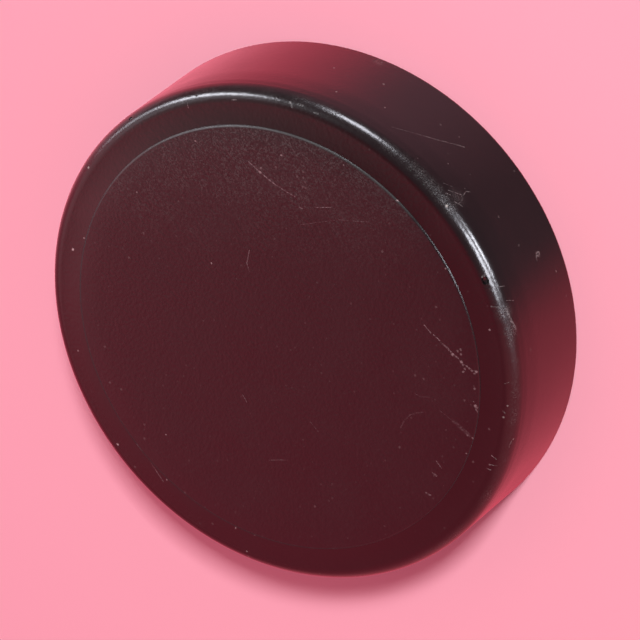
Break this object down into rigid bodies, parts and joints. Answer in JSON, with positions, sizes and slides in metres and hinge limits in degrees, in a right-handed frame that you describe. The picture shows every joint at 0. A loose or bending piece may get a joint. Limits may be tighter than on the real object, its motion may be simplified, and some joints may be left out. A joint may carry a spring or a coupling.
{
  "type": "camera lens cap",
  "caption": "Round push-on cap with a drafted skirt, rounded shoulder and raised textured panel, open at the back with grip ribs, that covers the front of a camera lens.",
  "frame": {"origin": "centre of the mouth, in the plane of the rim that the cap stands on", "axes": "+Z along the axis of the cap, from the open mouth towards the closed face; X and Y are alike"},
  "size_m": [0.0456, 0.0456, 0.0111],
  "materials": {
    "black_plastic": "satin black moulded plastic, fine stipple on the raised panel, polished and scuffed along the shoulder"
  },
  "bodies": {
    "root": {"lens_cap": "black_plastic"}
  },
  "joints": []
}
